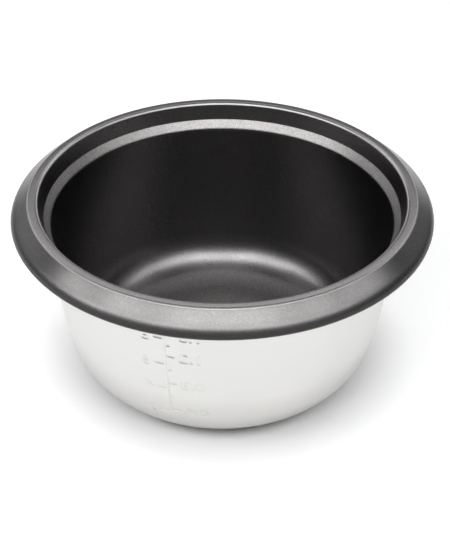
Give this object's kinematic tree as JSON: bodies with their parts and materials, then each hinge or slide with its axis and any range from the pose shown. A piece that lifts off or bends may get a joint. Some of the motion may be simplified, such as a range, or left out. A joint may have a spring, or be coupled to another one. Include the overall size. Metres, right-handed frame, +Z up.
{
  "type": "rice cooker inner pot",
  "caption": "Round removable cooking pot of drawn aluminium with a rounded corner, a lid ledge, a flared collar and a rolled rim, dark non-stick inside.",
  "frame": {"origin": "middle of the base, on the face that the pot stands on", "axes": "+Z up along the axis of the pot; the level scale stamped in the side lies towards -Y, a little towards -X"},
  "size_m": [0.209, 0.209, 0.1013],
  "materials": {
    "satin_aluminium": "pale fine satin, bare",
    "nonstick_grey": "dark grey non-stick coat with a fine metallic fleck, semi-matt"
  },
  "bodies": {
    "root": {"pot_shell": "satin_aluminium", "nonstick_coating": "nonstick_grey"}
  },
  "joints": []
}
